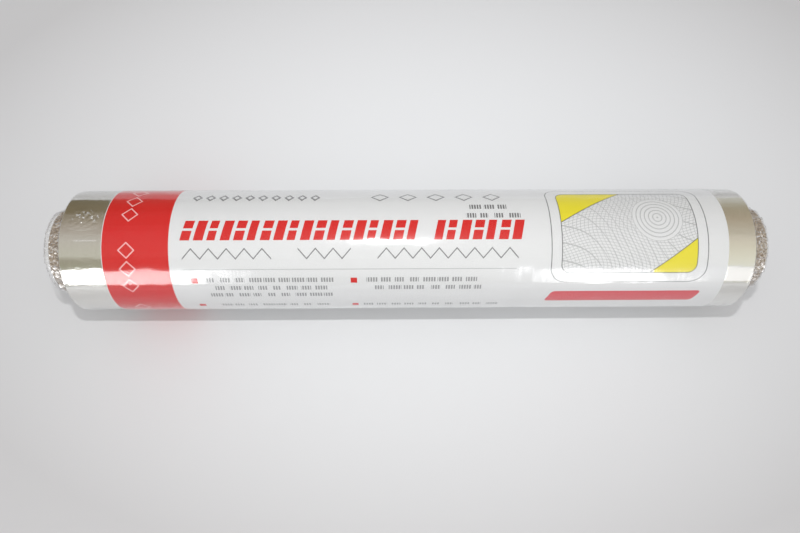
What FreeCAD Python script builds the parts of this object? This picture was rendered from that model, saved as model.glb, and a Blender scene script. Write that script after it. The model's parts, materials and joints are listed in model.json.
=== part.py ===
import FreeCAD, Part
import os
import Sketcher

# Catering roll of aluminium foil, lying on its side with its axis along X.
# A cardboard tube carries the wound foil. A printed paper band is glued round the foil,
# and a clear shrink film covers everything and is drawn in round the tube's ends.
# Sizes are millimetres. The origin lies under the middle of the tube, where the roll rests.

doc = FreeCAD.newDocument("foil_roll")

# Driving dimensions
sizes = doc.addObject("Spreadsheet::Sheet", "sizes")
DIMENSIONS = {
    "core_bore_radius": 16.5,      # the cardboard tube's inside
    "core_wall": 2.5,              # cardboard, several plies
    "core_edge_wear": 0.3,         # the tube's outer edges are knocked down a little
    "foil_width": 300.0,           # nominal width of the foil
    "left_stub": 9.0,              # the tube stands out of the foil at both ends
    "right_stub": 10.0,
    "winding_build": 8.62,         # depth of the wound foil on the tube
    "turn_step_depth": 0.2,        # how far the turns stand in and out at the end faces
    "turn_step_width": 0.7,
    "flat_depth": 0.22,            # how far the soft roll is pressed flat where it rests
    "left_bare_foil": 18.0,        # foil that the paper band leaves bare
    "right_bare_foil": 12.0,
    "paper_thickness": 0.15,
    "lap_width": 11.0,             # the paper band's ends overlap by this much
    "lap_turn": -42.0,             # where the overlap begins, round the axis from +Y
    "film_thickness": 0.15,
    "film_ease": 0.08,             # the film lies this loosely over the paper and the foil
    "gather_run": 2.4,             # the film bridges the corner between foil and tube
    "gather_rise": 3.0,
    "end_bulge": 1.6,              # the film stands this far past the cardboard
    "lip_margin": 0.7,             # the film's mouth is wider than the tube's bore
    "pleat_height": 0.7,           # gathered film stands up in small pleats
    "pleat_thickness": 0.3,
}
for row, (name, value) in enumerate(DIMENSIONS.items(), start=1):
    sizes.set(f"A{row}", name)
    sizes.set(f"B{row}", str(value))
    sizes.setAlias(f"B{row}", name)
doc.recompute()

TURN_STEPS = 6
PLEATS_PER_END = 18

# Derived sizes, as expressions on the sheet
CORE_LENGTH = "(sizes.left_stub + sizes.foil_width + sizes.right_stub)"
CORE_END = f"({CORE_LENGTH} / 2)"
CORE_RADIUS = "(sizes.core_bore_radius + sizes.core_wall)"
FOIL_RADIUS = f"({CORE_RADIUS} + sizes.winding_build)"
LABEL_RADIUS = f"({FOIL_RADIUS} + sizes.paper_thickness)"
FILM_INSIDE = f"({LABEL_RADIUS} + sizes.film_ease)"
FILM_RADIUS = f"({FILM_INSIDE} + sizes.film_thickness)"
LIP_RADIUS = "(sizes.core_bore_radius + sizes.lip_margin)"
AXIS_HEIGHT = f"{FILM_RADIUS} - sizes.flat_depth"
FOIL_LEFT = f"(sizes.left_stub - {CORE_END})"
FOIL_RIGHT = f"({CORE_END} - sizes.right_stub)"
LABEL_LEFT = f"({FOIL_LEFT} + sizes.left_bare_foil)"
LABEL_RIGHT = f"({FOIL_RIGHT} - sizes.right_bare_foil)"
TURN_PITCH = f"(sizes.winding_build / {TURN_STEPS + 1})"
FILM = "sizes.film_thickness"


def number(expression):
    """The present value of an expression on the sheet."""
    value = sizes.evalExpression(expression)
    return float(getattr(value, "Value", value))


def new_body(label):
    body = doc.addObject("PartDesign::Body", label)
    body.Label = label
    return body


def new_sketch(body, name, role):
    """An empty sketch on one of the body's own origin planes."""
    sketch = body.newObject("Sketcher::SketchObject", name)
    plane = [item for item in body.Origin.OriginFeatures if item.Role == role][0]
    sketch.AttachmentSupport = [(plane, "")]
    sketch.MapMode = "FlatFace"
    return sketch


def tie(sketch, constraint, expression):
    """Adds a dimension to a sketch and binds it to the sheet."""
    index = sketch.addConstraint(constraint)
    sketch.setExpression(f"Constraints[{index}]", expression)


def draw_outline(sketch, corners):
    """A closed outline of straight edges. Each corner is a pair of expressions."""
    points = [FreeCAD.Vector(number(across), number(up), 0) for across, up in corners]
    first = sketch.GeometryCount
    for start, end in zip(points, points[1:] + points[:1]):
        sketch.addGeometry(Part.LineSegment(start, end), False)
    for place, (across, up) in enumerate(corners):
        edge = first + place
        after = first + (place + 1) % len(corners)
        sketch.addConstraint(Sketcher.Constraint("Coincident", edge, 2, after, 1))
        tie(sketch, Sketcher.Constraint("DistanceX", -1, 1, edge, 1, points[place].x), across)
        tie(sketch, Sketcher.Constraint("DistanceY", -1, 1, edge, 1, points[place].y), up)


def draw_circle(sketch, radius):
    circle = Part.Circle(FreeCAD.Vector(0, 0, 0), FreeCAD.Vector(0, 0, 1), number(radius))
    edge = sketch.addGeometry(circle, False)
    sketch.addConstraint(Sketcher.Constraint("Coincident", edge, 3, -1, 1))
    tie(sketch, Sketcher.Constraint("Radius", edge, number(radius)), radius)


def draw_rested_circle(sketch, radius):
    """A circle about the axis, cut off flat at its foot by the roll's resting flat."""
    big = number(radius)
    drop = big - number("sizes.flat_depth")
    half = (big * big - drop * drop) ** 0.5
    left = FreeCAD.Vector(-half, -drop, 0)
    right = FreeCAD.Vector(half, -drop, 0)
    arc = sketch.addGeometry(Part.Arc(right, FreeCAD.Vector(0, big, 0), left), False)
    foot = sketch.addGeometry(Part.LineSegment(left, right), False)
    sketch.addConstraint(Sketcher.Constraint("Coincident", arc, 3, -1, 1))
    sketch.addConstraint(Sketcher.Constraint("Coincident", arc, 2, foot, 1))
    sketch.addConstraint(Sketcher.Constraint("Coincident", arc, 1, foot, 2))
    sketch.addConstraint(Sketcher.Constraint("Horizontal", foot))
    tie(sketch, Sketcher.Constraint("Radius", arc, big), radius)
    tie(sketch, Sketcher.Constraint("DistanceY", foot, 1, -1, 1, drop), f"{radius} - sizes.flat_depth")


def pad_between(body, sketch, name, left, right):
    """Pads a sketch that lies across the axis, from left to right along X."""
    sketch.setExpression(".AttachmentOffset.Base.z", left)
    pad = body.newObject("PartDesign::Pad", name)
    pad.Profile = sketch
    pad.setExpression("Length", f"{right} - {left}")
    return pad


def turn_round_axis(body, sketch, kind, name):
    """Revolution or groove of a sketch that lies along the axis."""
    feature = body.newObject(f"PartDesign::{kind}", name)
    feature.Profile = sketch
    feature.ReferenceAxis = (sketch, ["H_Axis"])
    feature.Angle = 360
    return feature


def lift(piece):
    """Raises a piece from the axis to where the roll rests on its flat."""
    piece.setExpression("Placement.Base.z", AXIS_HEIGHT)


# Cardboard tube: a pad of two circles, with its outer edges worn
core = new_body("core_tube")
core_section = new_sketch(core, "core_section", "YZ_Plane")
draw_circle(core_section, CORE_RADIUS)
draw_circle(core_section, "sizes.core_bore_radius")
core_pad = pad_between(core, core_section, "core_pad", f"(-{CORE_END})", CORE_END)
doc.recompute()
core_wear = core.newObject("PartDesign::Chamfer", "core_wear")
outer_rims = [
    f"Edge{place}"
    for place, edge in enumerate(core_pad.Shape.Edges, start=1)
    if isinstance(edge.Curve, Part.Circle) and abs(edge.Curve.Radius - number(CORE_RADIUS)) < 1e-6
]
core_wear.Base = (core_pad, outer_rims)
core_wear.setExpression("Size", "sizes.core_edge_wear")
lift(core)

# Wound foil: one solid, with the ends of its turns standing in and out in rings
foil = new_body("foil_roll")
foil_section = new_sketch(foil, "foil_section", "YZ_Plane")
draw_rested_circle(foil_section, FOIL_RADIUS)
draw_circle(foil_section, CORE_RADIUS)
pad_between(foil, foil_section, "foil_pad", FOIL_LEFT, FOIL_RIGHT)
turn_lines = new_sketch(foil, "turn_lines", "XZ_Plane")
for end, inward in ((FOIL_LEFT, "+"), (FOIL_RIGHT, "-")):
    for step in range(1, TURN_STEPS + 1):
        middle = f"({CORE_RADIUS} + {TURN_PITCH} * {step})"
        draw_outline(turn_lines, [
            (end, f"{middle} - sizes.turn_step_width / 2"),
            (end, f"{middle} + sizes.turn_step_width / 2"),
            (f"{end} {inward} sizes.turn_step_depth", middle),
        ])
turn_round_axis(foil, turn_lines, "Groove", "turn_steps")
lift(foil)

# Paper band: one turn of paper, its free end lapped over the other behind the roll
label = new_body("label_sleeve")
label_section = new_sketch(label, "label_section", "YZ_Plane")
draw_rested_circle(label_section, LABEL_RADIUS)
draw_rested_circle(label_section, FOIL_RADIUS)
pad_between(label, label_section, "label_wrap", LABEL_LEFT, LABEL_RIGHT)


def draw_lap(sketch, inside, outside, spare):
    """A short arc-shaped strip about the axis, wider than the paper's overlap by spare at each side."""
    near = number(inside)
    far = number(outside)
    begin = f"(sizes.lap_turn - {spare} / {FOIL_RADIUS} * 180 / pi)"
    finish = f"(sizes.lap_turn + (sizes.lap_width + {spare}) / {FOIL_RADIUS} * 180 / pi)"
    angles = (number(begin), (number(begin) + number(finish)) / 2, number(finish))
    turns = [FreeCAD.Rotation(FreeCAD.Vector(0, 0, 1), angle) for angle in angles]
    low, middle, high = [turn.multVec(FreeCAD.Vector(1, 0, 0)) for turn in turns]
    outer = sketch.addGeometry(Part.Arc(low * far, middle * far, high * far), False)
    closing = sketch.addGeometry(Part.LineSegment(high * far, high * near), False)
    inner = sketch.addGeometry(Part.Arc(low * near, middle * near, high * near), False)
    opening = sketch.addGeometry(Part.LineSegment(low * near, low * far), False)
    for first, first_end, second, second_end in (
        (outer, 2, closing, 1),
        (closing, 2, inner, 2),
        (inner, 1, opening, 1),
        (opening, 2, outer, 1),
        (outer, 3, -1, 1),
        (inner, 3, -1, 1),
    ):
        sketch.addConstraint(Sketcher.Constraint("Coincident", first, first_end, second, second_end))
    tie(sketch, Sketcher.Constraint("Radius", outer, far), outside)
    tie(sketch, Sketcher.Constraint("Radius", inner, near), inside)
    for edge, reach in ((outer, outside), (inner, inside)):
        for end, angle in ((1, begin), (2, finish)):
            height = f"{reach} * sin({angle} * 1 deg)"
            tie(sketch, Sketcher.Constraint("DistanceY", -1, 1, edge, end, number(height)), height)


label_lap = new_sketch(label, "label_lap", "YZ_Plane")
draw_lap(label_lap, f"({LABEL_RADIUS} - sizes.paper_thickness / 2)", f"({LABEL_RADIUS} + sizes.paper_thickness)", "0")
pad_between(label, label_lap, "lap_strip", LABEL_LEFT, LABEL_RIGHT)
lift(label)


# Shrink film: the space between an outer and an inner skin, both drawn round the same pieces
def skin_outline(left_to_right):
    """Closes a half outline of (x, radius) corners along the axis."""
    first = left_to_right[0][0]
    last = left_to_right[-1][0]
    return [(first, "0"), *left_to_right, (last, "0")]


LAP_COVER = f"(sizes.paper_thickness + {FILM})"
INNER_FOIL = f"({FOIL_RADIUS} + sizes.film_ease)"
OUTER_FOIL = f"({INNER_FOIL} + {FILM})"
OUTER_CORE = f"({CORE_RADIUS} + {FILM})"
right_outer = [
    (f"{LABEL_RIGHT} + {FILM}", FILM_RADIUS),
    (f"{LABEL_RIGHT} + {FILM} + sizes.paper_thickness", OUTER_FOIL),
    (FOIL_RIGHT, OUTER_FOIL),
    (f"{FOIL_RIGHT} + {FILM}", INNER_FOIL),
    (f"{FOIL_RIGHT} + {FILM}", f"{OUTER_CORE} + sizes.gather_rise"),
    (f"{FOIL_RIGHT} + {FILM} + sizes.gather_run", OUTER_CORE),
    (f"{CORE_END} + {FILM}", OUTER_CORE),
    (f"{CORE_END} + sizes.end_bulge", f"{OUTER_CORE} - sizes.end_bulge + {FILM}"),
]
left_outer = [
    (f"-{CORE_END} - sizes.end_bulge", f"{OUTER_CORE} - sizes.end_bulge + {FILM}"),
    (f"-{CORE_END} - {FILM}", OUTER_CORE),
    (f"{FOIL_LEFT} - {FILM} - sizes.gather_run", OUTER_CORE),
    (f"{FOIL_LEFT} - {FILM}", f"{OUTER_CORE} + sizes.gather_rise"),
    (f"{FOIL_LEFT} - {FILM}", INNER_FOIL),
    (FOIL_LEFT, OUTER_FOIL),
    (f"{LABEL_LEFT} - {FILM} - sizes.paper_thickness", OUTER_FOIL),
    (f"{LABEL_LEFT} - {FILM}", FILM_RADIUS),
]
right_inner = [
    (LABEL_RIGHT, FILM_INSIDE),
    (LABEL_RIGHT, INNER_FOIL),
    (FOIL_RIGHT, INNER_FOIL),
    (FOIL_RIGHT, f"{CORE_RADIUS} + sizes.gather_rise"),
    (f"{FOIL_RIGHT} + sizes.gather_run", CORE_RADIUS),
    (CORE_END, CORE_RADIUS),
    (f"{CORE_END} + sizes.end_bulge - {FILM}", f"{CORE_RADIUS} - sizes.end_bulge + {FILM}"),
    (f"{CORE_END} + sizes.end_bulge - {FILM}", LIP_RADIUS),
    (f"{CORE_END} + 2 * sizes.end_bulge", LIP_RADIUS),
]
left_inner = [
    (f"-{CORE_END} - 2 * sizes.end_bulge", LIP_RADIUS),
    (f"-{CORE_END} - sizes.end_bulge + {FILM}", LIP_RADIUS),
    (f"-{CORE_END} - sizes.end_bulge + {FILM}", f"{CORE_RADIUS} - sizes.end_bulge + {FILM}"),
    (f"-{CORE_END}", CORE_RADIUS),
    (f"{FOIL_LEFT} - sizes.gather_run", CORE_RADIUS),
    (FOIL_LEFT, f"{CORE_RADIUS} + sizes.gather_rise"),
    (FOIL_LEFT, INNER_FOIL),
    (LABEL_LEFT, INNER_FOIL),
    (LABEL_LEFT, FILM_INSIDE),
]


def make_skin(name, corners, radius, lap_spare, margin):
    """A solid of revolution, with the paper's lap showing through it and the resting flat cut off."""
    skin = new_body(name)
    half = new_sketch(skin, f"{name}_half", "XZ_Plane")
    draw_outline(half, skin_outline(corners))
    turn_round_axis(skin, half, "Revolution", f"{name}_turned")
    ridge = new_sketch(skin, f"{name}_ridge", "YZ_Plane")
    draw_lap(ridge, f"({radius} - 1)", f"({radius} + sizes.paper_thickness)", lap_spare)
    pad_between(skin, ridge, f"{name}_lap", f"({LABEL_LEFT} - {margin})", f"({LABEL_RIGHT} + {margin})")
    foot = new_sketch(skin, f"{name}_foot", "YZ_Plane")
    draw_outline(foot, [
        (f"-{radius}", f"-{radius} + sizes.flat_depth"),
        (radius, f"-{radius} + sizes.flat_depth"),
        (radius, f"-2 * {radius}"),
        (f"-{radius}", f"-2 * {radius}"),
    ])
    cut = skin.newObject("PartDesign::Pocket", f"{name}_flat")
    cut.Profile = foot
    cut.Midplane = True
    cut.setExpression("Length", f"2 * {CORE_LENGTH}")
    return skin


film_outside = make_skin("film_outside", left_outer + right_outer, FILM_RADIUS, LAP_COVER, FILM)
film_inside = make_skin("film_inside", left_inner + right_inner, FILM_INSIDE, "sizes.paper_thickness", "0")

# Pleats of gathered film, fanned out round both ends of the outer skin
doc.recompute()
for side, end, sign in (("left", FOIL_LEFT, "-"), ("right", FOIL_RIGHT, "+")):
    pleat_side = new_sketch(film_outside, f"{side}_pleat_side", "XZ_Plane")
    draw_outline(pleat_side, [
        (end, f"{CORE_RADIUS} + 2 * sizes.gather_rise"),
        (f"{end} {sign} {FILM}", f"{CORE_RADIUS} + 2 * sizes.gather_rise"),
        (f"{end} {sign} (sizes.gather_run + sizes.pleat_height)", f"{OUTER_CORE} + sizes.pleat_height"),
        (f"0 {sign} {CORE_END}", f"{OUTER_CORE} + sizes.pleat_height"),
        (f"0 {sign} ({CORE_END} + {FILM})", OUTER_CORE),
        (f"0 {sign} {CORE_END}", f"{CORE_RADIUS} + {FILM} / 2"),
        (end, f"{CORE_RADIUS} + {FILM} / 2"),
    ])
    pleat = film_outside.newObject("PartDesign::Pad", f"{side}_pleat")
    pleat.Profile = pleat_side
    pleat.Midplane = True
    pleat.setExpression("Length", "sizes.pleat_thickness")
    doc.recompute()
    fan = film_outside.newObject("PartDesign::PolarPattern", f"{side}_pleats")
    fan.Originals = [pleat]
    fan.Axis = (pleat_side, ["H_Axis"])
    fan.Angle = 360
    fan.Occurrences = PLEATS_PER_END
    film_outside.Tip = fan
    doc.recompute()

film = doc.addObject("Part::Cut", "shrink_film")
film.Label = "shrink_film"
film.Base = film_outside
film.Tool = film_inside
lift(film)
doc.recompute()

# Every feature has to be sound before anything is written
failed = [item.Name for item in doc.Objects if "Invalid" in item.State or "Error" in item.State]
if failed:
    raise RuntimeError(f"failed features: {failed}")

PIECES = [core, foil, label, film]
for piece in PIECES:
    shape = piece.Shape
    if shape.isNull() or not shape.isValid() or len(shape.Solids) != 1:
        raise RuntimeError(f"{piece.Label} is not one valid solid")
    box = shape.BoundBox
    print(piece.Label, "volume", round(shape.Volume, 1), "faces", len(shape.Faces),
          "x", round(box.XMin, 2), round(box.XMax, 2), "z", round(box.ZMin, 3), round(box.ZMax, 3))

os.makedirs("parts", exist_ok=True)
for piece in PIECES:
    piece.Shape.exportStep(f"parts/{piece.Label}.step")
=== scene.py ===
import json
import math
import random

import bmesh
import bpy
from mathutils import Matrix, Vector, noise


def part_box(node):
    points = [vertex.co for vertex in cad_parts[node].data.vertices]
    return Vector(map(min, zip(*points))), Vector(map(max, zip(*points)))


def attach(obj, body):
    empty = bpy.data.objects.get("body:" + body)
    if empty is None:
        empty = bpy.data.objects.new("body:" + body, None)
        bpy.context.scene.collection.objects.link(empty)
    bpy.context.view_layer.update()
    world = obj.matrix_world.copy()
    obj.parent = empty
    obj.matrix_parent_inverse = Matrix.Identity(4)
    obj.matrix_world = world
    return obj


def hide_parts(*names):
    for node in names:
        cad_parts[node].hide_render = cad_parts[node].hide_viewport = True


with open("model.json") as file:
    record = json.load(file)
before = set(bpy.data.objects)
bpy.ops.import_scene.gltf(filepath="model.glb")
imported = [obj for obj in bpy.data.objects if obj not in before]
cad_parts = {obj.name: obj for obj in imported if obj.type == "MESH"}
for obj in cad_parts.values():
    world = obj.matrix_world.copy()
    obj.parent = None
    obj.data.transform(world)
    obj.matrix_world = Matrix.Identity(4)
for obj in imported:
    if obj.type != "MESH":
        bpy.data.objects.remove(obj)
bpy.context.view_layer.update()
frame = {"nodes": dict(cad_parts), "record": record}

# Cardboard tube
# Grey-brown board, wound in a spiral from glued plies and cut square at both ends. The foil is
# wound on it, and it stands out of the foil at each end, where only the film covers it.
MM = 0.001
tube_low, tube_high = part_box("core_tube")
tube_end = tube_high.x
tube_radius = (tube_high.z - tube_low.z) / 2
axis_height = (tube_high.z + tube_low.z) / 2
mounts = {mount["name"]: mount for mount in frame["record"]["mounts"]}
bore_radius = mounts["core_bore"]["dims"]["r_mm"] * MM

ON_SURFACE = 0.01 * MM         # a point this near a surface counts as lying on it
EDGE_ANGLE = math.radians(35)  # faces that meet at more than this are shaded apart
TUBE_STEPS = 160
STUB_LENGTH = 14 * MM          # stretch of tube modelled finely at each end
STUB_PARTS = 28
PLIES = 5
PLY_GROOVE = 0.12 * MM
SEAM_LEAD = 78 * MM            # the spiral seam's advance in one turn
SEAM_WIDTH = 0.9 * MM
SEAM_DEPTH = 0.14 * MM
SEAM_SHARE = 0.008             # half of the dark seam line, as a share of the advance
BOARD_ROUGHNESS = 0.03 * MM
BOARD_GRAIN = 900


class Shade:
    """An output socket in a node tree. Arithmetic on it adds the Math nodes that work it out."""

    def __init__(self, socket):
        self.socket = socket
        self.tree = socket.id_data

    def math(self, operation, *terms):
        node = self.tree.nodes.new("ShaderNodeMath")
        node.operation = operation
        for slot, term in zip(node.inputs, terms):
            feed(slot, term)
        return Shade(node.outputs[0])

    def __add__(self, other):
        return self.math("ADD", self, other)

    def __radd__(self, other):
        return self.math("ADD", other, self)

    def __sub__(self, other):
        return self.math("SUBTRACT", self, other)

    def __rsub__(self, other):
        return self.math("SUBTRACT", other, self)

    def __mul__(self, other):
        return self.math("MULTIPLY", self, other)

    def __rmul__(self, other):
        return self.math("MULTIPLY", other, self)

    def __truediv__(self, other):
        return self.math("DIVIDE", self, other)

    def __pow__(self, other):
        return self.math("POWER", self, other)

    def __abs__(self):
        return self.math("ABSOLUTE", self)

    def __lt__(self, other):
        return self.math("LESS_THAN", self, other)

    def __gt__(self, other):
        return self.math("GREATER_THAN", self, other)

    def __mod__(self, other):
        return self.math("FLOORED_MODULO", self, other)


def feed(slot, term):
    """Gives a node's input socket a link or a plain value."""
    if isinstance(term, Shade):
        slot.id_data.links.new(term.socket, slot)
    else:
        slot.default_value = term


def larger(one, other):
    return one.math("MAXIMUM", one, other)


def smaller(one, other):
    return one.math("MINIMUM", one, other)


def clamp(number):
    """A number held between 0 and 1."""
    return smaller(larger(number, 0.0), 1.0)


def hypotenuse(one, other):
    """How far two distances at right angles reach together."""
    return (one * one + other * other) ** 0.5


def bearing(rise, run):
    """The angle at which a point lies that is this far up and this far across."""
    return rise.math("ARCTAN2", rise, run)


class Finish:
    """A surface finish in the making: one node tree and the method that adds nodes to it."""

    def __init__(self, data):
        self.data = data
        data.use_nodes = True
        self.tree = data.node_tree
        self.tree.nodes.clear()

    def node(self, kind, settings=None, output=None, **sockets):
        """Adds a node: its settings first, then its sockets, named in lower case with underscores."""
        node = self.tree.nodes.new(kind)
        for name, value in (settings or {}).items():
            setattr(node, name, value)
        slots = {}
        for slot in node.inputs:
            if slot.enabled:
                name = slot.name.lower().replace(" ", "_")
                slots[name + "_2" if name in slots else name] = slot
        for name, term in sockets.items():
            feed(slots[name], term)
        outputs = [slot for slot in node.outputs if slot.enabled]
        if output:
            outputs = [slot for slot in outputs if slot.name == output]
        return Shade(outputs[0]) if outputs else None

    def mix(self, factor, first, second):
        """A blend of two colours."""
        return self.node("ShaderNodeMix", {"data_type": "RGBA"}, factor=factor, a=first, b=second)

    def ramp(self, number, stops):
        """A colour that follows a number through stops of (place, colour), given in order."""
        tones = self.node("ShaderNodeValToRGB", fac=number)
        elements = tones.socket.node.color_ramp.elements
        for place, _ in stops[2:]:
            elements.new(place)
        for element, (place, colour) in zip(elements, stops):
            element.position = place
            element.color = colour
        return tones

    def noise(self, vector, scale=1.0, detail=2.0, roughness=0.5):
        return self.node(
            "ShaderNodeTexNoise", vector=vector, scale=scale, detail=detail, roughness=roughness)

    def vector(self, x, y, z):
        return self.node("ShaderNodeCombineXYZ", x=x, y=y, z=z)

    def split(self, vector):
        """A vector's three parts."""
        parts = self.node("ShaderNodeSeparateXYZ", vector=vector)
        return [Shade(slot) for slot in parts.socket.node.outputs]

    def position(self, turn=0.0):
        """Object coordinates in millimetres from the roll's axis, turned about it: (along, across, out)."""
        place = self.node("ShaderNodeTexCoord", output="Object")
        return self.split(self.node(
            "ShaderNodeMapping", {"vector_type": "TEXTURE"}, vector=place,
            location=(0, 0, axis_height), rotation=(turn, 0, 0), scale=(MM, MM, MM)))

    def relief(self, height, strength=1.0, distance=MM):
        """Relief too fine for the mesh. Heights are in parts of the distance."""
        return self.node("ShaderNodeBump", strength=strength, distance=distance, height=height)

    def surface(self, shader):
        self.node("ShaderNodeOutputMaterial", surface=shader)
        return self.data


def srgb(red, green, blue):
    """A colour as a screen shows it, from 0 to 255, made linear."""
    linear = []
    for part in (red / 255, green / 255, blue / 255):
        linear.append(part / 12.92 if part < 0.04045 else ((part + 0.055) / 1.055) ** 2.4)
    return (*linear, 1.0)


def spin_line(mesh, line, steps, closed):
    """Joins a row of vertices by edges and turns it about the X axis into a surface."""
    pairs = list(zip(line, line[1:])) + ([(line[-1], line[0])] if closed else [])
    edges = [mesh.edges.new(pair) for pair in pairs]
    bmesh.ops.spin(
        mesh, geom=line + edges, cent=(0, 0, 0), axis=(1, 0, 0),
        angle=math.tau, steps=steps, use_merge=True)
    bmesh.ops.recalc_face_normals(mesh, faces=mesh.faces)


def spin_outline(corners, steps):
    """Turns a closed outline of (along, radius) corners about the X axis into a bmesh."""
    mesh = bmesh.new()
    line = [mesh.verts.new((along, 0, radius)) for along, radius in corners]
    spin_line(mesh, line, steps, closed=True)
    return mesh


def polar(vert):
    """A vertex's angle round the axis, from +Y towards +Z, and its distance from the axis."""
    return math.atan2(vert.co.z, vert.co.y), math.hypot(vert.co.y, vert.co.z)


def set_radius(vert, angle, radius):
    vert.co.y = radius * math.cos(angle)
    vert.co.z = radius * math.sin(angle)


def add_object(name, data):
    """Puts an object with this data into the scene, at the origin."""
    thing = bpy.data.objects.new(name, data)
    bpy.context.scene.collection.objects.link(thing)
    return thing


def add_mesh(name, mesh, finish):
    """Makes an object from a bmesh and gives it its one finish."""
    data = bpy.data.meshes.new(name)
    mesh.to_mesh(data)
    mesh.free()
    data.materials.append(finish)
    return add_object(name, data)


def make_piece(name, mesh, finish, node):
    """Lifts a mesh to the roll's axis and makes it the piece that stands for a CAD node."""
    bmesh.ops.translate(mesh, verts=mesh.verts, vec=(0, 0, axis_height))
    piece = add_mesh(name, mesh, finish)
    piece.data.shade_smooth()
    piece.data.set_sharp_from_angle(angle=EDGE_ANGLE)
    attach(piece, "root")
    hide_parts(node)
    return piece


def tube_outline():
    """The tube's wall, with grooves between its plies at the cut ends."""
    fine = [tube_end - STUB_LENGTH * part / STUB_PARTS for part in range(STUB_PARTS + 1)]
    right = [(along, tube_radius) for along in reversed(fine[1:])]
    thickness = (tube_radius - bore_radius) / PLIES
    cut = []
    for ply in range(PLIES):
        outside = tube_radius - thickness * ply
        cut += [
            (tube_end - PLY_GROOVE, outside),
            (tube_end, outside - thickness * 0.25),
            (tube_end, outside - thickness * 0.75),
        ]
    cut.append((tube_end - PLY_GROOVE, bore_radius))
    half = right + cut + [(tube_end - STUB_LENGTH, bore_radius)]
    return half + [(-along, radius) for along, radius in reversed(half)]


tube_mesh = spin_outline(tube_outline(), TUBE_STEPS)
for vert in tube_mesh.verts:
    angle, radius = polar(vert)
    if radius > tube_radius - ON_SURFACE and abs(vert.co.x) > tube_end - STUB_LENGTH:
        turn = (vert.co.x / SEAM_LEAD - angle / math.tau) % 1.0
        offset = min(turn, 1.0 - turn) * SEAM_LEAD
        seam = max(0.0, 1.0 - offset / SEAM_WIDTH)
        rough = BOARD_ROUGHNESS * abs(noise.noise(vert.co * BOARD_GRAIN))
        set_radius(vert, angle, radius - SEAM_DEPTH * seam - rough)

BOARD_DARK = srgb(138, 118, 98)
BOARD_PALE = srgb(174, 154, 130)
BLOTCH_BROWN = srgb(126, 106, 90)
FLECK_DARK = srgb(86, 70, 56)
FLECK_PALE = srgb(206, 190, 168)
SEAM_BROWN = srgb(70, 58, 48)


def cardboard():
    """Unbleached board: short pressed fibres, dark and pale flecks, and the dark line of the seam."""
    board = Finish(bpy.data.materials.new("cardboard"))
    along, across, out = board.position()
    angle = bearing(out, across)
    radius = hypotenuse(across, out)
    place = board.vector(along, angle * (tube_radius / MM), radius)
    drawn_out = board.vector(along * 0.35, angle * 22.0, radius)
    fibres = board.noise(drawn_out, scale=1.6, detail=4.0, roughness=0.65)
    blotches = board.noise(place, scale=0.22, detail=3.0)
    flecks = board.noise(place, scale=0.95, roughness=0.6)
    dark_flecks = clamp((0.49 - flecks) * 9.0)
    pale_flecks = clamp((flecks - 0.53) * 9.0)
    turn = (along / (SEAM_LEAD / MM) - angle / math.tau) % 1.0
    seam_line = (turn < SEAM_SHARE) + (turn > 1.0 - SEAM_SHARE)
    shade = board.mix(fibres, BOARD_DARK, BOARD_PALE)
    shade = board.mix(blotches * 0.4, shade, BLOTCH_BROWN)
    shade = board.mix(dark_flecks * 0.6, shade, FLECK_DARK)
    shade = board.mix(pale_flecks * 0.6, shade, FLECK_PALE)
    shade = board.mix(seam_line * 0.5, shade, SEAM_BROWN)
    relief = board.relief(fibres + blotches, strength=0.35, distance=0.2 * MM)
    return board.surface(board.node(
        "ShaderNodeBsdfPrincipled", base_color=shade, roughness=0.85, normal=relief))


make_piece("spiral_board_tube", tube_mesh, cardboard(), "core_tube")

# Wound foil
# Bright rolled aluminium, about a hundred metres of it, wound tight on the tube. Its turns show as
# fine rings on the end faces, no two quite level, and the last turn's edge lies underneath.
foil_low, foil_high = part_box("foil_roll")
foil_radius = (foil_high.y - foil_low.y) / 2
foil_left = foil_low.x
foil_right = foil_high.x

FOIL_STEPS = 192
SHOWN_TURNS = 46
TURN_DRIFT = 0.16 * MM         # how far runs of turns stand back from the widest ones
TURN_NOTCH = 0.05 * MM
LAST_EDGE_STEP = 0.05 * MM
LAST_EDGE_ANGLE = math.radians(-75)


def turn_rings(end, inward, seed):
    """One end face's corners from the outside in: a shallow notch between each ring and the next."""
    spread = random.Random(seed)
    pitch = (foil_radius - tube_radius) / SHOWN_TURNS
    corners = []
    for turn in range(SHOWN_TURNS):
        outside = foil_radius - pitch * turn
        wander = 0.5 + 0.5 * math.sin(turn * 0.55 + seed) * math.sin(turn * 0.21)
        back = TURN_DRIFT * wander + spread.uniform(0, TURN_NOTCH)
        corners.append((end + inward * (back + TURN_NOTCH), outside))
        corners.append((end + inward * back, outside - pitch * 0.5))
    corners[0] = (end + inward * TURN_DRIFT, foil_radius)
    corners.append((end + inward * TURN_DRIFT, tube_radius))
    return corners


right_face = turn_rings(foil_right, inward=-1, seed=3)
left_face = turn_rings(foil_left, inward=1, seed=8)
foil_mesh = spin_outline(right_face + left_face[::-1], FOIL_STEPS)
for vert in foil_mesh.verts:
    angle, radius = polar(vert)
    if radius > foil_radius - ON_SURFACE:
        along_turn = ((angle - LAST_EDGE_ANGLE) / math.tau) % 1.0
        set_radius(vert, angle, foil_radius - LAST_EDGE_STEP * along_turn)
    vert.co.z = max(vert.co.z, foil_low.z - axis_height)

FOIL_BRIGHT = srgb(246, 245, 241)
FOIL_STREAK = srgb(225, 223, 216)
FOIL_EDGE_GREY = srgb(150, 148, 142)
FOIL_PUCKERS = ((-141.0, 39.0), (11.0, 6.0))    # middle and reach in mm, along and round the roll


def off_centre(one, other, middle, reach):
    """0 in the middle of an ellipse and 1 at its rim, by the square of the distance."""
    return ((one - middle[0]) / reach[0]) ** 2.0 + ((other - middle[1]) / reach[1]) ** 2.0


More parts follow.
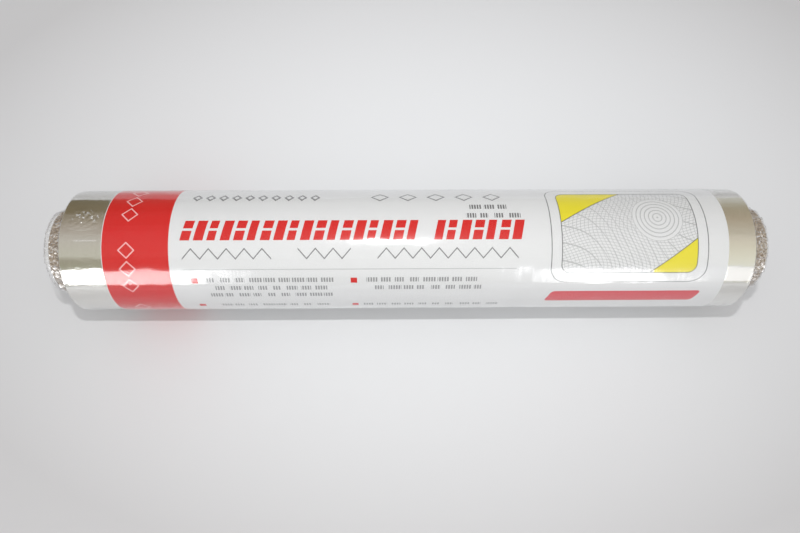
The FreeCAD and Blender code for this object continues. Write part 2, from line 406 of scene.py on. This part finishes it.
def rolled_foil():
    """Aluminium, bright and a little drawn out along its turns, with rings at the cut edges."""
    foil = Finish(bpy.data.materials.new("rolled_foil"))
    along, across, out = foil.position()
    angle = bearing(out, across)
    around = angle * (foil_radius / MM)
    radius = hypotenuse(across, out)
    at_end = radius < foil_radius / MM - 0.12
    streaks = foil.noise(foil.vector(along * 3.0, angle * 1.2, radius * 0.2), detail=3.0)
    rings = foil.noise(foil.vector(radius * 9.0, angle * 0.35, 0.0), detail=3.0, roughness=0.7)
    ripples = foil.noise(foil.vector(along * 0.10, angle * 5.0, 0.0))
    wrinkles = foil.noise(foil.vector(along * 0.16, around * 0.5, 5.0))
    dents = foil.noise(foil.vector(along, around, 9.0), scale=0.6, detail=3.0)
    puckers = clamp(1.0 - off_centre(along, around, *FOIL_PUCKERS)) * dents
    tone = foil.mix(streaks * 0.35, FOIL_BRIGHT, FOIL_STREAK)
    tone = foil.mix(at_end * rings * 0.55, tone, FOIL_EDGE_GREY)
    rough = 0.075 + streaks * 0.03 + at_end * (0.16 + rings * 0.1)
    height = ripples * 0.07 + wrinkles * 0.06 + puckers * 0.45
    height = height * (1 - at_end) + rings * at_end * 0.025
    return foil.surface(foil.node(
        "ShaderNodeBsdfPrincipled", base_color=tone, metallic=1.0, roughness=rough,
        normal=foil.relief(height)))


make_piece("wound_foil", foil_mesh, rolled_foil(), "foil_roll")

# Paper band
# White coated paper, printed in red, grey and yellow and cut to width. It goes once round the foil
# and is glued to itself with a lap low at the back. Every field of print is a plain shape.
label_low, label_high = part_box("label_sleeve")
label_radius = label_high.z - axis_height
FACING = math.radians(21)      # the printed front is turned this far from straight up, towards -Y

PAPER_WHITE = srgb(230, 230, 229)
PAPER_SHADE = srgb(224, 224, 222)
BAND_RED = srgb(216, 14, 18)
BAR_RED = srgb(222, 84, 92)
PRINT_GREY = srgb(112, 112, 114)
PRINT_DARK = srgb(70, 70, 74)
PRINT_YELLOW = srgb(236, 222, 40)
NET_GREY = srgb(150, 150, 150)
PALE_PINK = srgb(246, 190, 188)

# Places in the print are in millimetres: along from the band's left edge, and up round the roll
# from the line that faces the viewer.
BAND_SIDES = (0.3, 28.5)
BAND_DIAMOND = 8.2             # pitch of the diamonds on the red band
BAR_PITCH = 5.7
BAR_LEAN = 0.22                # how far the headline's bars lean along for each millimetre up
BAR_GROUPS = ((33.2, 136.0), (143.1, 181.5))
BAR_ENDS = (4.1, 13.1)
ZIGZAG_GROUPS = ((34.2, 72.2), (83.6, 106.4), (117.8, 178.6))
ZIGZAG_PITCH = 7.6
ZIGZAG_HEIGHT = 4.4
ZIGZAG_FOOT = -3.9
BULLET_PLACES = ((37.0, -15.3), (106.0, -15.3), (37.0, -32.2), (106.0, -32.2))
BULLET_SIZE = (2.8, 2.6)
DASH_PITCH = 6.2
SHORTEST_DASH = 3.4
DASH_SPREAD = 2.3
ROW_SHIFT = 2.7                # how far each row's dashes are moved along from those above
GREY_FIELDS = (                # left, right, top, rows, pitch of the rows, height of the dashes, seed
    (45.0, 97.0, -12.6, 3, 4.2, 2.2, 0),
    (114.0, 163.0, -12.6, 2, 4.2, 2.2, 5),
    (45.0, 97.0, -29.6, 1, 4.2, 2.2, 9),
    (114.0, 172.0, -29.6, 1, 4.2, 2.2, 13),
    (40.0, 176.0, 66.0, 5, 4.4, 2.2, 17),
    (40.0, 176.0, -44.0, 4, 4.4, 2.2, 23),
)
DARK_FIELDS = (
    (160.0, 177.0, 21.6, 1, 4.0, 2.6, 3),
    (157.5, 180.0, 16.6, 1, 4.0, 2.4, 11),
)
NET_MIDDLE = (227.0, 9.5)
BAR_MIDDLE = (227.0, -24.4)
RINGS_MIDDLE = (240.0, 14.0)
RINGS_RADIUS = 11.0


def inside(distance, half):
    """1 where a signed distance from a middle line is under half a width."""
    return abs(distance) < half


def between(number, low, high):
    """1 where a number lies between two limits."""
    return inside(number - (low + high) / 2, (high - low) / 2)


def block(along, around, left, right, low, high):
    """1 within an upright rectangle of the print."""
    return between(along, left, right) * between(around, low, high)


def stripes(number, pitch, width):
    """1 on stripes of one width that come once in every pitch."""
    return (number % pitch) < width


def from_middle(number, pitch):
    """How far a number is past the middle of the pitch that it falls in."""
    return (number % pitch) - pitch / 2


def whole(number):
    """The whole part of a number, rounded down."""
    return number.math("FLOOR", number)


def wave(number):
    return number.math("SINE", number)


def diamond_outline(along, around, half_sizes, hollow):
    """1 on the outline of a diamond about 0, 0. The share of it that is hollow stays 0."""
    reach = abs(along) / half_sizes[0] + abs(around) / half_sizes[1]
    return (reach < 1.0) * (reach > hollow)


def rounded_distance(along, around, middle, half_sizes, corner):
    """Distance outside a rounded rectangle, negative within it."""
    over_along = abs(along - middle[0]) - (half_sizes[0] - corner)
    over_around = abs(around - middle[1]) - (half_sizes[1] - corner)
    past = hypotenuse(larger(over_along, 0.0), larger(over_around, 0.0))
    return past + smaller(larger(over_along, over_around), 0.0) - corner


def word_rows(paper, along, around, left, right, top, rows, pitch, height, seed):
    """Rows of small dashes of uneven length, ticked like close print."""
    row = whole((top - around) / pitch)
    shifted = along + row * ROW_SHIFT + seed
    number = whole(shifted / DASH_PITCH)
    chance = paper.node(
        "ShaderNodeTexWhiteNoise", {"noise_dimensions": "2D"},
        vector=paper.vector(number, row + seed, 0.0))
    dashes = stripes(shifted, DASH_PITCH, SHORTEST_DASH + chance * DASH_SPREAD)
    ticks = stripes(shifted, pitch=1.15, width=0.72)
    dash_middle = (number + 0.5) * DASH_PITCH - row * ROW_SHIFT - seed
    area = block(dash_middle, around, left, right, top - rows * pitch, top)
    return area * dashes * ticks * stripes(top - around, pitch, height)


def print_band(paper, ink, along, around):
    """The red band, with a column of thin outlined diamonds of which one in four is left out."""
    diamond_step = from_middle(around + BAND_DIAMOND / 2, BAND_DIAMOND)
    column = diamond_outline(along - 10.6, diamond_step, half_sizes=(3.7, 3.7), hollow=0.80)
    left_out = stripes(around - BAND_DIAMOND / 2, pitch=BAND_DIAMOND * 4, width=BAND_DIAMOND)
    ink = paper.mix(between(along, *BAND_SIDES), ink, BAND_RED)
    return paper.mix(column * (1 - left_out), ink, PALE_PINK)


def print_headline(paper, ink, along, around):
    """Slanted red bars of uneven width, with a line of diamonds above and a zigzag line below."""
    lean = along - (around - 8.5) * BAR_LEAN
    bars = stripes(lean, BAR_PITCH, width=4.1)
    thin_breaks = stripes(lean + 2.2, pitch=BAR_PITCH * 3, width=0.8)
    slits = inside(around - 8.9, 0.55) * stripes(lean, pitch=BAR_PITCH * 2, width=BAR_PITCH)
    groups = sum(between(lean, *ends) for ends in BAR_GROUPS)
    headline = groups * between(around, *BAR_ENDS) * bars * (1 - slits) * (1 - thin_breaks)
    ink = paper.mix(headline, ink, BAND_RED)

    wide = diamond_outline(from_middle(along, 12.5), around - 27.5, half_sizes=(4.2, 3.2), hollow=0.74)
    small = diamond_outline(from_middle(along, 5.8), around - 27.3, half_sizes=(2.3, 2.7), hollow=0.52)
    diamonds = between(along, 112.5, 175.0) * wide + between(along, 34.8, 92.8) * small
    ink = paper.mix(diamonds * 0.85, ink, PRINT_GREY)

    climb = abs(from_middle(along, ZIGZAG_PITCH)) / (ZIGZAG_PITCH / 2)
    zigzag = inside(around - (climb * ZIGZAG_HEIGHT + ZIGZAG_FOOT), 0.36)
    groups = sum(between(along, *ends) for ends in ZIGZAG_GROUPS)
    return paper.mix(groups * zigzag * 0.9, ink, PRINT_GREY)


def print_words(paper, ink, along, around):
    """A hairline rule, square red bullets, and fields of small dashes."""
    rule = block(along, around, left=34.0, right=178.0, low=-8.8, high=-8.45)
    ink = paper.mix(rule * 0.42, ink, PRINT_GREY)
    width, height = BULLET_SIZE
    bullets = sum(
        block(along, around, left, left + width, low, low + height) for left, low in BULLET_PLACES)
    ink = paper.mix(bullets, ink, BAND_RED)
    grey = sum(word_rows(paper, along, around, *field) for field in GREY_FIELDS)
    ink = paper.mix(grey * 0.75, ink, PRINT_GREY)
    dark = sum(word_rows(paper, along, around, *field) for field in DARK_FIELDS)
    return paper.mix(dark * 0.85, ink, PRINT_DARK)


def print_panel(paper, ink, along, around):
    """Two rounded frames round a net of fine waves, with yellow corners and a set of rings."""
    frame_edge = rounded_distance(along, around, NET_MIDDLE, half_sizes=(34.0, 25.0), corner=7.0)
    net_edge = rounded_distance(along, around, NET_MIDDLE, half_sizes=(29.5, 20.5), corner=4.0)
    net_area = net_edge < 0.0
    bend = wave(along * 0.11) * 3.0
    sway = wave(around * 0.16) * 3.4
    crossing = stripes(around + bend, pitch=1.3, width=0.2)
    upright = stripes(along + sway, pitch=1.7, width=0.2)
    slanting = stripes(along * 0.8 + around * 0.6 + bend * 2.0, pitch=4.6, width=0.3)
    net = larger(larger(crossing, upright), slanting)
    rings_away = hypotenuse(along - RINGS_MIDDLE[0], around - RINGS_MIDDLE[1])
    ring_area = rings_away < RINGS_RADIUS
    rings = ring_area * stripes(rings_away, pitch=1.8, width=0.4)
    net = net * (1 - ring_area) + rings
    ink = paper.mix(net * net_area * 0.62, ink, NET_GREY)

    upper_slope = around - 12.0 - (along - 198.0) * 0.62
    lower_slope = (along - 236.0) * 0.75 - (around + 11.0)
    upper_side = along < 228.0
    upper_corner = (upper_slope > 0.0) * upper_side
    lower_corner = (lower_slope > 0.0) * (along > 238.0)
    ink = paper.mix(net_area * larger(upper_corner, lower_corner), ink, PRINT_YELLOW)
    frame_lines = larger(inside(frame_edge, 0.2), inside(net_edge, 0.2))
    slope_lines = larger(inside(upper_slope, 0.24) * upper_side, inside(lower_slope, 0.24))
    return paper.mix(larger(frame_lines, net_area * slope_lines) * 0.8, ink, PRINT_DARK)


def print_bar(paper, ink, along, around):
    """A plain red bar with slanted ends, under the panel."""
    slant = along - (around - BAR_MIDDLE[1]) * 0.35
    edge = rounded_distance(slant, around, BAR_MIDDLE, half_sizes=(33.4, 3.6), corner=1.6)
    return paper.mix(edge < 0.0, ink, BAR_RED)


def printed_paper():
    """White coated paper under its fields of print."""
    paper = Finish(bpy.data.materials.new("printed_paper"))
    along, across, out = paper.position(FACING)
    along = along - label_low.x / MM
    around = bearing(across, out) * (label_radius / MM)
    fibre = paper.noise(paper.vector(along, around, 0.0), scale=1.5, detail=3.0)
    ink = paper.mix(fibre * 0.25, PAPER_WHITE, PAPER_SHADE)
    for print_field in (print_band, print_headline, print_words, print_panel, print_bar):
        ink = print_field(paper, ink, along, around)
    return paper.surface(paper.node(
        "ShaderNodeBsdfPrincipled", base_color=ink, roughness=0.42, specular_ior_level=0.12,
        normal=paper.relief(fibre, strength=0.12, distance=0.1 * MM)))


label_mesh = bmesh.new()
label_mesh.from_mesh(frame["nodes"]["label_sleeve"].data)
bmesh.ops.remove_doubles(label_mesh, verts=label_mesh.verts, dist=0.002 * MM)
bmesh.ops.translate(label_mesh, verts=label_mesh.verts, vec=(0, 0, -axis_height))
make_piece("paper_band", label_mesh, printed_paper(), "label_sleeve")

# Shrink film
# Thin clear plastic tube, slipped over the roll and shrunk by heat. It lies smooth on the paper and
# the foil, and gathers into creases where it is drawn down the end faces and round the tube's ends.
film_low, film_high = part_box("shrink_film")
film_radius = film_high.y
film_end = film_high.x

FILM_STEPS = 300
FILM_THICKNESS = 0.08 * MM
PAPER_STEP = label_radius - foil_radius
PLAIN_SPACING = 7.0 * MM
BARE_SPACING = 1.3 * MM
STUB_SPACING = 0.42 * MM
FACE_PARTS = 7
MOUTH_PARTS = 9
STEP_BACK = 0.6 * MM           # the last ring on the paper, before its edge
STEP_TOP = 0.1 * MM            # where the film starts down off the paper, past its edge
STEP_FOOT = 0.5 * MM           # where it is down on the foil
EDGE_BACK = 0.3 * MM           # the last ring on the foil, before its cut end
FACE_OFF = 0.3 * MM            # from the foil's cut end to the film drawn down over it
FACE_LEAN = 0.25 * MM
SHOULDER = 0.6 * MM            # how far the film has come down where it turns onto the end face
GATHER_RUN = 6.0 * MM          # how far along the tube the film takes to come down on it
GATHER_RISE = 4.2 * MM
TUBE_OFF = 0.35 * MM
LIP_OFF = 0.75 * MM            # how much wider than the bore the film's mouth is
MOUTH_TURN = math.pi * 0.55    # angle that the film turns through over the tube's cut end
MOUTH_REACH = 0.85
LEFT_SLACK = 1.2 * MM          # the left end's film stands out this much further than drawn in CAD
RIGHT_SLACK = -0.7 * MM        # the right end's lies closer on the cut board
FOLD_HEIGHT = 0.60 * MM
CRUMPLE_HEIGHT = 0.34 * MM
SLACK_HEIGHT = 0.03 * MM
LAP_ANGLES = (math.radians(-43.5), math.radians(-17.5))
LAP_RAMP = math.radians(2.0)   # the film takes this much turn to climb onto the paper's lap


def film_half(foil_end, label_end, slack):
    """One half of the film's outline, from the middle to the mouth, as (along, radius, gathered)."""
    over_foil = film_radius - PAPER_STEP
    plain = int(label_end / PLAIN_SPACING)
    line = [(label_end * part / plain, film_radius, 0.0) for part in range(plain)]
    line.append((label_end - STEP_BACK, film_radius, 0.0))
    line.append((label_end + STEP_TOP, film_radius, 0.0))
    line.append((label_end + STEP_FOOT, over_foil, 0.0))
    bare = int((foil_end - label_end) / BARE_SPACING)
    reach = foil_end - EDGE_BACK - label_end
    line += [(label_end + reach * part / bare, over_foil, 0.0) for part in range(1, bare + 1)]
    line.append((foil_end + FACE_OFF / 3, over_foil - SHOULDER / 4, 0.05))
    face = foil_end + FACE_OFF
    top = over_foil - SHOULDER
    foot = tube_radius + GATHER_RISE
    for part in range(FACE_PARTS + 1):
        share = part / FACE_PARTS
        line.append((face + FACE_LEAN * share, top - (top - foot) * share, 0.1 + 0.3 * share))
    start = face + FACE_LEAN
    on_tube = tube_radius + TUBE_OFF
    stub = int((tube_end - start) / STUB_SPACING)
    for part in range(1, stub + 1):
        along = start + (tube_end - start) * part / stub
        fall = max(0.0, 1.0 - (along - start) / GATHER_RUN)
        line.append((along, on_tube + (foot - on_tube) * fall ** 2.4, min(1.0, 0.4 + 0.1 * part)))
    bulge = (film_end - tube_end + slack) * MOUTH_REACH
    lip = bore_radius + LIP_OFF
    for part in range(1, MOUTH_PARTS + 1):
        swing = MOUTH_TURN * part / MOUTH_PARTS
        inward = (1 - math.cos(swing)) / (1 - math.cos(MOUTH_TURN))
        line.append((tube_end + bulge * math.sin(swing), on_tube - (on_tube - lip) * inward, 0.5))
    return line


right_film = film_half(foil_right, label_high.x, RIGHT_SLACK)
left_film = film_half(-foil_left, -label_low.x, LEFT_SLACK)
film_line = [(-along, radius, gathered) for along, radius, gathered in left_film[::-1]] + right_film[1:]
film_mesh = bmesh.new()
film_gather = film_mesh.verts.layers.float.new("gathered")
line_verts = []
for along, radius, gathered in film_line:
    vert = film_mesh.verts.new((along, 0, radius))
    vert[film_gather] = gathered
    line_verts.append(vert)
spin_line(film_mesh, line_verts, FILM_STEPS, closed=False)
outermost = max(film_mesh.faces, key=lambda face: face.calc_center_median().yz.length)
if outermost.normal.yz.dot(outermost.calc_center_median().yz) < 0:
    bmesh.ops.reverse_faces(film_mesh, faces=film_mesh.faces)
film_mesh.normal_update()


def ridges(place, width, stretch, seed):
    """Thin-crested folds about one width apart, drawn out along the roll: 1 on a crest, 0 between."""
    spot = Vector((place.x * stretch, place.y, place.z)) / (width * MM)
    return max(0.0, 1.0 - 4.5 * abs(noise.noise(spot + Vector((seed, 0, 0)))))


def crease(place):
    """Height of the gathered film: folds that run to the mouth and shorter crumples across them."""
    folds = ridges(place, width=4.8, stretch=0.25, seed=0)
    crumples = ridges(place, width=2.7, stretch=0.8, seed=40)
    return FOLD_HEIGHT * folds + CRUMPLE_HEIGHT * crumples


def slack_rise(place, angle):
    """How far the smooth film stands off what lies under it, in long shallow waves."""
    spot = Vector((place.x / MM * 0.045, math.cos(angle) * 2.2, math.sin(angle) * 2.2))
    return SLACK_HEIGHT * (0.5 + noise.noise(spot))


moved = []
for vert in film_mesh.verts:
    angle, radius = polar(vert)
    gathered = vert[film_gather]
    lift = slack_rise(vert.co, angle) * (1 - gathered) + gathered * crease(vert.co)
    if gathered == 0.0 and abs(radius - film_radius) < ON_SURFACE:
        into = min(angle - LAP_ANGLES[0], LAP_ANGLES[1] - angle) / LAP_RAMP
        lift += PAPER_STEP * min(1.0, max(0.0, into))
    moved.append((vert, vert.co + vert.normal * lift))
for vert, place in moved:
    vert.co = place
    vert.co.z = max(vert.co.z, film_low.z - axis_height)

CLEAR_TINT = (0.985, 0.987, 0.99, 1)
# Where small puckers and a long crease are raised, and painted pale as highlights
STRIP_PUCKER_GLINTS = ((-140.0, 38.6), (9.0, 4.2))    # over the bare foil at the left, beside the paper
STUB_PUCKER_GLINTS = ((155.0, 47.0), (4.0, 6.0))      # on the tube at the right
CREASE_GLINT_MIDDLE = (-139.2, 50.0)                    # middle, along and round the roll
CREASE_GLINT_HALF = 6.0


def clear_film():
    """Clear gloss that shows what lies under it, reflects more at a slant and glitters in its creases, with
    painted highlights along their crests.
    """
    film = Finish(bpy.data.materials.new("clear_film"))
    along, across, out = film.position()
    around = bearing(out, across) * (film_radius / MM)
    bands = film.noise(film.vector(along * 0.45, around * 0.045, 0.0), detail=1.0)
    sway = film.noise(film.vector(along * 0.07, around * 0.09, 7.0), detail=1.0)

    # Loose film past the foil's ends: folds and fine crackle, with painted highlights along their crests
    foil_middle = (foil_right + foil_left) / MM / 2
    foil_half = (foil_right - foil_left) / MM / 2
    loose = clamp((abs(along - foil_middle) - (foil_half - 0.3)) * 1.5)
    spot = film.vector(along * 0.8, across, out)
    folds = film.noise(spot, scale=0.45, detail=1.0)
    crackle = film.noise(spot, detail=1.0)
    fold_lines = clamp(1.0 - abs(folds - 0.5) * 24.0)
    crackle_lines = clamp(1.0 - abs(crackle - 0.5) * 12.0)
    lines = clamp((fold_lines * 0.8 + crackle_lines * 0.5) * loose)

    # Two patches of small puckers, and one long crease over the bare foil at the left, with painted
    # highlights along their lines
    on_strip = clamp(1.0 - off_centre(along, around, *STRIP_PUCKER_GLINTS))
    on_stub = clamp(1.0 - off_centre(along, around, *STUB_PUCKER_GLINTS))
    pucker = film.noise(film.vector(along, around, 0.0), scale=0.75, detail=1.0)
    puckers_and_glints = clamp((pucker - 0.58) * 12.0) * (on_strip + on_stub)
    # A slight raised crease, with a painted highlight line along it
    crease_ends = clamp(1.0 - abs(along - CREASE_GLINT_MIDDLE[0]) / CREASE_GLINT_HALF)
    crease_and_glint = clamp(1.0 - abs(around - CREASE_GLINT_MIDDLE[1]) * 2.2) * clamp(crease_ends * 3.0)

    height = bands * 0.03 + sway * 0.45 + loose * (crackle * 0.17 + folds * 0.42)
    height = height + puckers_and_glints * 0.2 + crease_and_glint * 0.06
    relief = film.relief(height)
    # Painted highlights: crests, puckers and the long crease are made pale and more reflective, as glints
    painted_glints = clamp(lines * 0.5 + puckers_and_glints * 0.62 + crease_and_glint * 0.45)
    gloss = film.node(
        "ShaderNodeBsdfPrincipled", base_color=(1, 1, 1, 1), metallic=clamp(1.0 - painted_glints * 1.6),
        roughness=0.14 + loose * 0.11 + painted_glints * 0.15, normal=relief)
    clear = film.node("ShaderNodeBsdfTransparent", color=CLEAR_TINT)
    facing = film.node("ShaderNodeLayerWeight", blend=0.5, normal=relief, output="Facing")
    mirror = 0.042 + loose * 0.02 + 0.12 * facing ** 2.0 + 0.78 * facing ** 6.0
    reflected = mirror + painted_glints * 0.6 * (1.0 - mirror)
    return film.surface(film.node("ShaderNodeMixShader", fac=reflected, shader=clear, shader_2=gloss))


film_piece = make_piece("clear_wrap", film_mesh, clear_film(), "shrink_film")
wall = film_piece.modifiers.new("wall", "SOLIDIFY")
wall.thickness = FILM_THICKNESS
wall.offset = -1.0

# Floor and room
# A pale floor under the roll. Its tone is painted shade for the light's fall-off: darkest in a wide
# ring round the roll. The room round it is a soft tan, paler above and to the right and darker low
# behind, so that bare foil and film have something to reflect.
FLOOR_HALF = 1.5
# The floor's painted shade: where its ring of tone centres, how far it reaches, and its tones outward
FLOOR_MIDDLE = (0.02, 0.044)
FLOOR_REACH = (0.25, 0.165)
FLOOR_SPREAD = 7.0
FLOOR_PAINTED_SHADE = [
    (0.0, srgb(236, 237, 238)),
    (0.19, srgb(207, 206, 206)),
    (1.0, srgb(236, 236, 236)),
]
SOFT_LIGHT = 0.655
FRONT_LIGHT = 0.40             # how much brighter the soft light is from the near side
SEEN_GREY = srgb(200, 200, 200)

# The room's tones from the front horizon, at 0, over the top to the back horizon, at 1
WEST_TONES = [
    (0.0, (0.26, 0.25, 0.22, 1)),
    (0.20, (0.34, 0.33, 0.24, 1)),
    (0.27, (0.36, 0.335, 0.255, 1)),
    (0.33, (0.58, 0.56, 0.475, 1)),
    (0.50, (0.55, 0.515, 0.46, 1)),
    (0.60, (0.44, 0.39, 0.335, 1)),
    (0.69, (0.333, 0.288, 0.224, 1)),
    (0.79, (0.29, 0.25, 0.19, 1)),
    (0.84, (0.205, 0.165, 0.10, 1)),
    (1.0, (0.165, 0.14, 0.088, 1)),
]
EAST_TONES = [
    (0.0, (0.60, 0.58, 0.50, 1)),
    (0.20, (0.82, 0.81, 0.70, 1)),
    (0.28, (0.80, 0.775, 0.65, 1)),
    (0.40, (0.726, 0.681, 0.555, 1)),
    (0.49, (0.66, 0.60, 0.50, 1)),
    (0.53, (0.56, 0.51, 0.415, 1)),
    (0.70, (0.438, 0.37, 0.275, 1)),
    (0.82, (0.38, 0.33, 0.24, 1)),
    (0.90, (0.43, 0.40, 0.32, 1)),
    (1.0, (0.55, 0.54, 0.50, 1)),
]


def pale_paint():
    """Pale matt paint with painted shade for the light's fall-off: darkest in a wide ring round the roll
    and pale again far off.
    """
    paint = Finish(bpy.data.materials.new("pale_paint"))
    side, depth, _ = paint.split(paint.node("ShaderNodeTexCoord", output="Object"))
    away = off_centre(side, depth, FLOOR_MIDDLE, FLOOR_REACH) / FLOOR_SPREAD
    return paint.surface(paint.node(
        "ShaderNodeBsdfPrincipled", base_color=paint.ramp(away, FLOOR_PAINTED_SHADE), roughness=0.7,
        specular_ior_level=0.1))


floor_mesh = bmesh.new()
bmesh.ops.create_grid(floor_mesh, x_segments=2, y_segments=2, size=FLOOR_HALF)
pale_floor = add_mesh("pale_floor", floor_mesh, pale_paint())

world = bpy.data.worlds.new("room")
bpy.context.scene.world = world
room = Finish(world)
east, north, up = room.split(room.node("ShaderNodeTexCoord", output="Generated"))
near = -1.0 * north
climb = bearing(up, near) / math.pi
wall_tones = room.mix(
    clamp(0.5 + east * 1.1), room.ramp(climb, WEST_TONES), room.ramp(climb, EAST_TONES))
behind = (SOFT_LIGHT, SOFT_LIGHT, SOFT_LIGHT * 1.01, 1.0)
in_front = [part + FRONT_LIGHT for part in behind[:3]] + [1.0]
soft = room.mix(clamp(near), behind, in_front)
glossy_rays = room.node("ShaderNodeLightPath", output="Is Glossy Ray")
camera_rays = room.node("ShaderNodeLightPath", output="Is Camera Ray")
tones = room.mix(glossy_rays, soft, wall_tones)
tones = room.mix(camera_rays, tones, SEEN_GREY)
room.node("ShaderNodeOutputWorld", surface=room.node("ShaderNodeBackground", color=tones))

# Bright panels
# Two upright bright sheets stand well in front of the roll, one to each side. Only gloss shows
# them, as the pale bands along the foil and the film. The right one is dim along its right half.
PANEL_AWAY = 0.60
PANEL_GLOW = 7.0
PANEL_FADE = 0.2               # share of a sheet's height over which it dims towards its upper edge


def add_panel(name, left, right, low, high, dim, glow_stops):
    """A bright sheet that faces the roll. Its glow changes along it and is dim at its upper edge."""
    panel = bmesh.new()
    corners = [panel.verts.new(place) for place in (
        (left, -PANEL_AWAY, low), (left, -PANEL_AWAY, high),
        (right, -PANEL_AWAY, high), (right, -PANEL_AWAY, low))]
    panel.faces.new(corners)
    glow = Finish(bpy.data.materials.new(name))
    side, _, height = glow.split(glow.node("ShaderNodeTexCoord", output="Object"))
    share_along = (side - left) / (right - left)
    share_down = (high - height) / (high - low)
    tone = glow.ramp(share_along, [
        (place, (level, level * 0.99, level * 0.985, 1)) for place, level in glow_stops])
    tone = glow.mix(clamp(share_down / PANEL_FADE), (dim, dim, dim, 1), tone)
    only_gloss = glow.node("ShaderNodeLightPath", output="Diffuse Depth") < 0.5
    tone = glow.mix(only_gloss, (0, 0, 0, 1), tone)
    shining = glow.surface(glow.node("ShaderNodeEmission", color=tone, strength=PANEL_GLOW))
    sheet = add_mesh(name, panel, shining)
    sheet.visible_camera = False
    sheet.visible_diffuse = False
    sheet.visible_shadow = False


add_panel("left_panel", left=-0.60, right=-0.20, low=0.072, high=0.43, dim=0.055, glow_stops=[
    (0.0, 1.0), (0.76, 1.0), (0.88, 0.3), (1.0, 0.0)])
add_panel("right_panel", left=0.17, right=0.68, low=0.062, high=0.45, dim=0.115, glow_stops=[
    (0.0, 0.0), (0.045, 0.22), (0.14, 1.0), (0.33, 1.0), (0.50, 0.155), (1.0, 0.155)])

# Lamp
# A small lamp above the near side of the roll. It gives the crisp narrow shadow below the roll and
# the small bright patch on the middle of the film.
LAMP_PLACE = Vector((-8.5, -39.4, 385.2)) * MM
LAMP_SIZE = (16 * MM, 7 * MM)
LAMP_WATTS = 0.50

lamp_data = bpy.data.lights.new("lamp", "AREA")
lamp_data.shape = "RECTANGLE"
lamp_data.size, lamp_data.size_y = LAMP_SIZE
lamp_data.energy = LAMP_WATTS
lamp = add_object("lamp", lamp_data)
lamp.location = LAMP_PLACE
lamp.rotation_euler = (math.atan2(-LAMP_PLACE.y, LAMP_PLACE.z - axis_height), 0, 0)

# Camera
# It looks down on the roll from in front, as near as the roll's whole length allows. Its place,
# its turn and its lens are those that bring the roll's edges to where the photograph has them.
CAMERA_PLACE = Vector((-9.32, -104.10, 298.97)) * MM
CAMERA_TURN = (19.382, -0.783, -0.558)
CAMERA_LENS = 27.554
SENSOR_WIDTH = 36.0

camera_data = bpy.data.cameras.new("camera")
camera_data.lens = CAMERA_LENS
camera_data.sensor_width = SENSOR_WIDTH
camera_data.clip_start = 0.01
camera = add_object("camera", camera_data)
camera.location = CAMERA_PLACE
camera.rotation_euler = [math.radians(part) for part in CAMERA_TURN]
bpy.context.scene.camera = camera
bpy.context.scene.view_settings.view_transform = "Standard"
